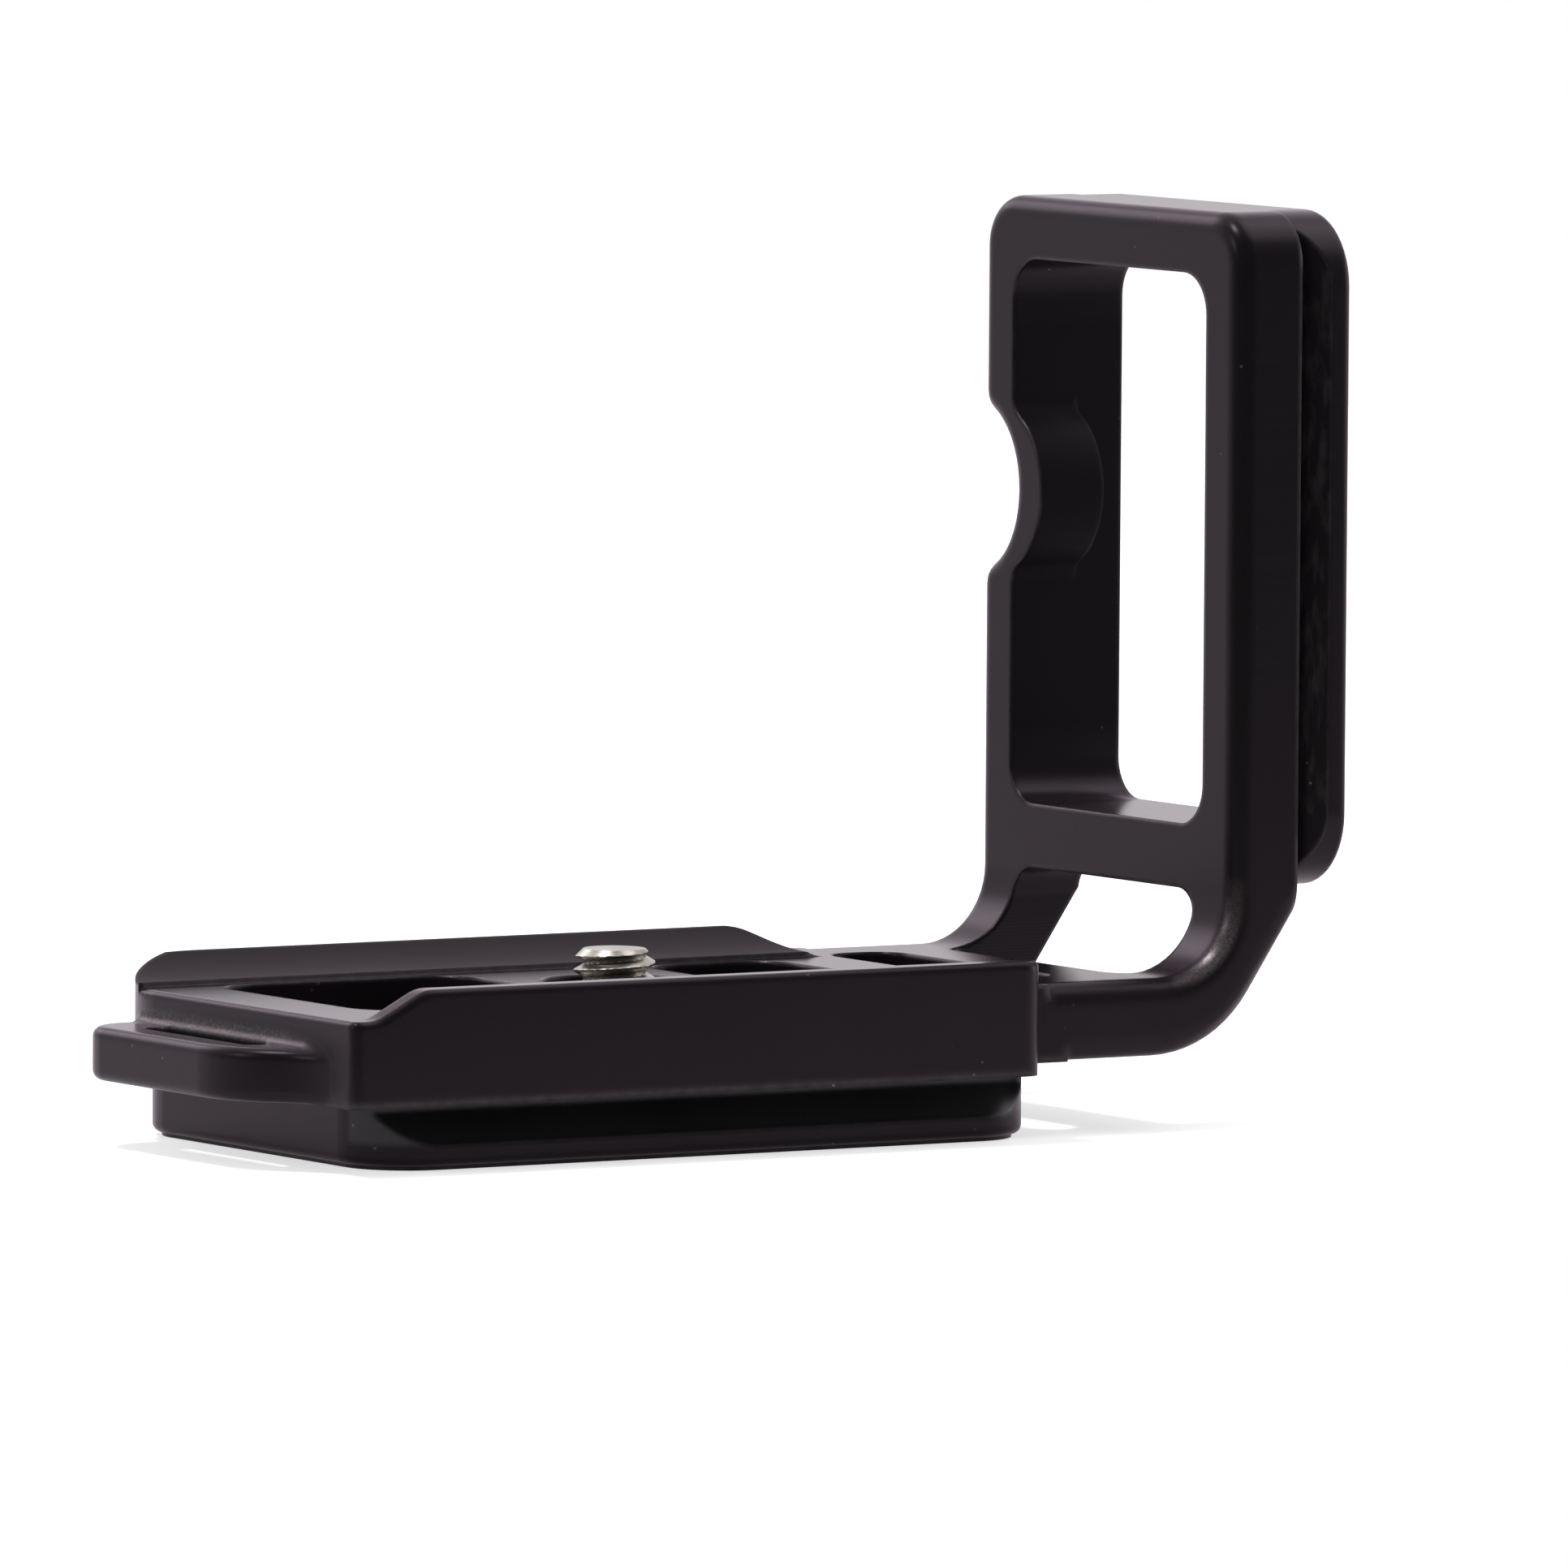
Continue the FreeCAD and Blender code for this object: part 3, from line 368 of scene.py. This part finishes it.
def anodised_material():
    """Satin black anodising with milling streaks, soft edges, dust and a little wear, with painted shade
    and painted highlights in places.
    """
    material, tree, shader, coordinates = new_material("anodised_black")
    cloud = noise(tree, coordinates, CLOUD_SCALE)
    streaks = noise(tree, coordinates, STREAK_SCALE, STREAK_STRETCH)
    grain = noise(tree, coordinates, GRAIN_SCALE, detail=2.0)
    normal = tree.nodes.new("ShaderNodeNewGeometry").outputs["Normal"]
    axes = tree.nodes.new("ShaderNodeSeparateXYZ")
    link(tree, normal, axes.inputs["Vector"])

    hollow = inside_box(tree, coordinates, HOLLOW_BOX)
    window_wall = inside_box(tree, coordinates, WINDOW_WALL_BOX)
    rounded = rounded_normal(tree, coordinates)
    dust = loose_dust(tree, coordinates)
    scuff = noise(tree, coordinates, SCUFF_SCALE, SCUFF_STRETCH)
    seam = noise(tree, coordinates, SEAM_SCALE)

    # Each layer covers those before it
    layers = (
        # Painted shade on the arm window's far wall
        (window_wall, WINDOW_WALL_SHADE_COLOUR),
        # Painted light inside the base's near groove
        (pattern_in_box(tree, coordinates, BASE_GROOVE_BOX, cloud, GROOVE_LIGHT_LEVELS), GROOVE_LIGHT_COLOUR),
        (milling_lines(tree, coordinates), LINE_COLOUR),
        # Painted highlight on the bend's near rim
        (painted_rim_highlight(tree, coordinates, axes.outputs["Y"], grain), RIM_HIGHLIGHT_COLOUR),
        # Edges lighter by wear and by a painted highlight
        (edge_wear_and_highlight(tree, coordinates, rounded, normal, window_wall), WEAR_AND_HIGHLIGHT_COLOUR),
        (pattern_in_box(tree, coordinates, ARM_GROOVE_BOX, scuff, SCUFF_LEVELS), SCUFF_COLOUR),
        (pattern_in_box(tree, coordinates, LOOP_SEAM_BOX, seam, SEAM_LEVELS), SEAM_COLOUR),
        (dust, DUST_COLOUR),
    )
    colour = mixed_colour(tree, cloud, *DYE_COLOURS)
    for share, layer_colour in layers:
        colour = mixed_colour(tree, share, colour, layer_colour)
    link(tree, colour, shader.inputs["Base Color"])

    roughness = spread(tree, streaks, *SATIN_LEVELS)
    roughness = mixed_value(tree, spread(tree, axes.outputs["Z"], *FLAT_LEVELS), roughness, FLAT_ROUGHNESS)
    for place in (hollow, window_wall):
        roughness = mixed_value(tree, place, roughness, DULL_ROUGHNESS)
    link(tree, mixed_value(tree, dust, roughness, DUST_ROUGHNESS), shader.inputs["Roughness"])

    gloss = spread(tree, window_wall, 0.0, 1.0, GLOSS_LEVEL, WINDOW_WALL_GLOSS)
    link(tree, gloss, shader.inputs["Specular IOR Level"])
    shader.inputs["Specular Tint"].default_value = SHEEN_TINT
    shader.inputs["Metallic"].default_value = METAL_SHARE

    milled = bump(tree, streaks, *STREAK_BUMP, normal=rounded)
    link(tree, bump(tree, grain, *GRAIN_BUMP, normal=milled), shader.inputs["Normal"])
    return material


def steel_material():
    """Stainless steel with turning marks and small stains."""
    material, tree, shader, coordinates = new_material("stainless_bright")
    turning = noise(tree, coordinates, TURNING_SCALE, TURNING_STRETCH)
    stain = noise(tree, coordinates, STAIN_SCALE)
    link(tree, mixed_colour(tree, stain, *STEEL_COLOURS), shader.inputs["Base Color"])
    shader.inputs["Metallic"].default_value = 1.0
    link(tree, spread(tree, turning, *TURNING_LEVELS), shader.inputs["Roughness"])
    link(tree, bump(tree, turning, *TURNING_BUMP), shader.inputs["Normal"])
    return material


def ray_kinds(tree):
    """One for rays straight from the camera, and one for rays that gloss or glass passes on."""
    path = tree.nodes.new("ShaderNodeLightPath")
    passed_on = tree.nodes.new("ShaderNodeMath")
    passed_on.operation = "MAXIMUM"
    link(tree, path.outputs["Is Glossy Ray"], passed_on.inputs[0])
    link(tree, path.outputs["Is Transmission Ray"], passed_on.inputs[1])
    return path.outputs["Is Camera Ray"], passed_on.outputs["Value"]


def floor_material():
    """White table that reads as white to the camera and still keeps the object's shadow."""
    material, tree, shader, coordinates = new_material("white_table")
    paper = noise(tree, coordinates, PAPER_SCALE)
    link(tree, mixed_colour(tree, paper, *TABLE_COLOURS), shader.inputs["Base Color"])
    shader.inputs["Roughness"].default_value = TABLE_ROUGHNESS
    shader.inputs["Specular IOR Level"].default_value = 0.0
    shader.inputs["Emission Color"].default_value = (1.0, 1.0, 1.0, 1.0)
    from_camera, passed_on = ray_kinds(tree)
    mirrored = spread(tree, passed_on, 0.0, 1.0, 0.0, TABLE_MIRROR_GLOW)
    link(tree, mixed_value(tree, from_camera, mirrored, TABLE_GLOW), shader.inputs["Emission Strength"])
    return material


def thread_radius(turn, height):
    """Radius of the sixty degree thread at an angle and a height along the screw."""
    phase = (height / THREAD_PITCH - turn / (2 * math.pi)) % 1.0
    slope = abs(phase - 0.5) * 2.0
    return THREAD_RADIUS - THREAD_DEPTH * min(1.0, max(0.0, (slope - CREST_SHARE) / FLANK_SHARE))


def socket_radius(turn):
    """Radius of the hexagonal socket at an angle."""
    return SOCKET_HALF_FLATS / math.cos((turn % (math.pi / 3)) - math.pi / 6)


def screw_rings():
    """Rings of the screw from the socket's floor outwards and up to the tip, then the two end heights."""
    low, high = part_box("camera_screw")
    foot, tip = low.z / MM, high.z / MM
    head_top = foot + HEAD_HEIGHT
    neck_low, neck_high = tip - NECK_START, tip - NECK_END
    socket_floor = foot + SOCKET_DEPTH

    rings = [(socket_radius, socket_floor), (socket_radius, foot)]
    outline = (
        (HEAD_RADIUS - HEAD_CHAMFER, foot),
        (HEAD_RADIUS, foot + HEAD_CHAMFER),
        (HEAD_RADIUS, head_top - HEAD_CHAMFER),
        (HEAD_RADIUS - HEAD_CHAMFER, head_top),
        (THREAD_RADIUS, head_top),
        (THREAD_RADIUS, neck_low),
        (NECK_RADIUS, neck_low),
        (NECK_RADIUS, neck_high),
    )
    rings += [(lambda turn, radius=radius: radius, height) for radius, height in outline]
    for step in range(THREAD_STEPS + 1):
        height = neck_high + (tip - neck_high) * step / THREAD_STEPS
        limit = THREAD_RADIUS - max(0.0, height - (tip - TIP_CHAMFER))

        def cut(turn, height=height, limit=limit):
            return min(thread_radius(turn, height), limit)

        rings.append((cut, height))
    return rings, socket_floor, tip


def make_screw(material):
    """Captive camera screw with a real helical thread, riding on the screw's body."""
    rings, socket_floor, tip = screw_rings()
    vertices = []
    for radius, height in rings:
        for k in range(SCREW_SEGMENTS):
            turn = 2 * math.pi * k / SCREW_SEGMENTS
            size = radius(turn) * MM
            vertices.append((size * math.cos(turn), size * math.sin(turn), height * MM))
    faces = []
    for ring in range(len(rings) - 1):
        for k in range(SCREW_SEGMENTS):
            a, b = ring * SCREW_SEGMENTS + k, ring * SCREW_SEGMENTS + (k + 1) % SCREW_SEGMENTS
            faces.append((a, b, b + SCREW_SEGMENTS, a + SCREW_SEGMENTS))
    for ring, height, flip in ((0, socket_floor, True), (len(rings) - 1, tip, False)):
        vertices.append((0.0, 0.0, height * MM))
        centre = len(vertices) - 1
        for k in range(SCREW_SEGMENTS):
            a, b = ring * SCREW_SEGMENTS + k, ring * SCREW_SEGMENTS + (k + 1) % SCREW_SEGMENTS
            faces.append((b, a, centre) if flip else (a, b, centre))
    mesh = bpy.data.meshes.new("threaded_screw")
    mesh.from_pydata(vertices, [], faces)
    mesh.materials.append(material)
    mesh.shade_smooth()
    mesh.set_sharp_from_angle(angle=SHARP_ANGLE)
    screw = bpy.data.objects.new("threaded_screw", mesh)
    bpy.context.scene.collection.objects.link(screw)
    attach(screw, "screw")
    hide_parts("camera_screw")


def make_floor(material):
    """White table square to the camera; its front edge is close, so near sides mirror the quiet room."""
    corners = [
        (-TABLE_SIDE, TABLE_FRONT, 0.0),
        (TABLE_SIDE, TABLE_FRONT, 0.0),
        (TABLE_SIDE, TABLE_BACK, 0.0),
        (-TABLE_SIDE, TABLE_BACK, 0.0),
    ]
    mesh = bpy.data.meshes.new("table")
    mesh.from_pydata(corners, [], [(0, 1, 2, 3)])
    mesh.materials.append(material)
    floor = bpy.data.objects.new("table", mesh)
    floor.location = (0.0, 0.0, cad_low.z - TABLE_DROP)
    floor.rotation_euler.z = math.atan2(CAMERA_RIGHT.y, CAMERA_RIGHT.x)
    bpy.context.scene.collection.objects.link(floor)


def make_world():
    """White studio: gloss sees it bright behind the object and quieter in front; the camera sees white."""
    world = bpy.data.worlds.new("studio")
    bpy.context.scene.world = world
    world.use_nodes = True
    tree = world.node_tree
    tree.nodes.clear()
    output = tree.nodes.new("ShaderNodeOutputWorld")
    room = add_node(tree, "ShaderNodeBackground", Color=(1.0, 1.0, 1.0, 1.0))
    away = dot_product(tree, tree.nodes.new("ShaderNodeTexCoord").outputs["Generated"])
    away.inputs[1].default_value = tuple(-CAMERA_BACK)
    mirrored = spread(tree, away.outputs["Value"], FRONT_END, BACK_START, FRONT_LEVEL, BACK_LEVEL)
    from_camera, passed_on = ray_kinds(tree)
    scattered = spread(tree, passed_on, 0.0, 1.0, 1.0, 0.0)
    level = mixed_value(tree, scattered, mirrored, ROOM_LEVEL)
    link(tree, mixed_value(tree, from_camera, level, BACKDROP_LEVEL), room.inputs["Strength"])
    link(tree, room.outputs["Background"], output.inputs["Surface"])


def make_lamp(name, place, size, power):
    """Soft square lamp that looks at the middle of the bracket."""
    data = bpy.data.lights.new(name, "AREA")
    data.size = size
    data.energy = power
    lamp = bpy.data.objects.new(name, data)
    lamp.location = place
    lamp.rotation_euler = (LAMP_AIM - Vector(place)).to_track_quat("-Z", "Y").to_euler()
    bpy.context.scene.collection.objects.link(lamp)


def make_camera():
    """Long lens at the picture's angle."""
    data = bpy.data.cameras.new("camera")
    data.lens = LENS
    data.sensor_width = SENSOR
    data.clip_start = NEAREST
    data.clip_end = FARTHEST
    camera = bpy.data.objects.new("camera", data)
    axes = Matrix((CAMERA_RIGHT, CAMERA_UP, CAMERA_BACK)).transposed()
    camera.matrix_world = Matrix.Translation(CAMERA_PLACE) @ axes.to_4x4()
    bpy.context.scene.collection.objects.link(camera)
    bpy.context.scene.camera = camera


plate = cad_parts["l_plate"]
plate.data.materials.clear()
plate.data.materials.append(anodised_material())

make_screw(steel_material())
make_floor(floor_material())
make_world()
for lamp_values in LAMPS:
    make_lamp(*lamp_values)
make_camera()
bpy.context.scene.view_settings.view_transform = "Standard"
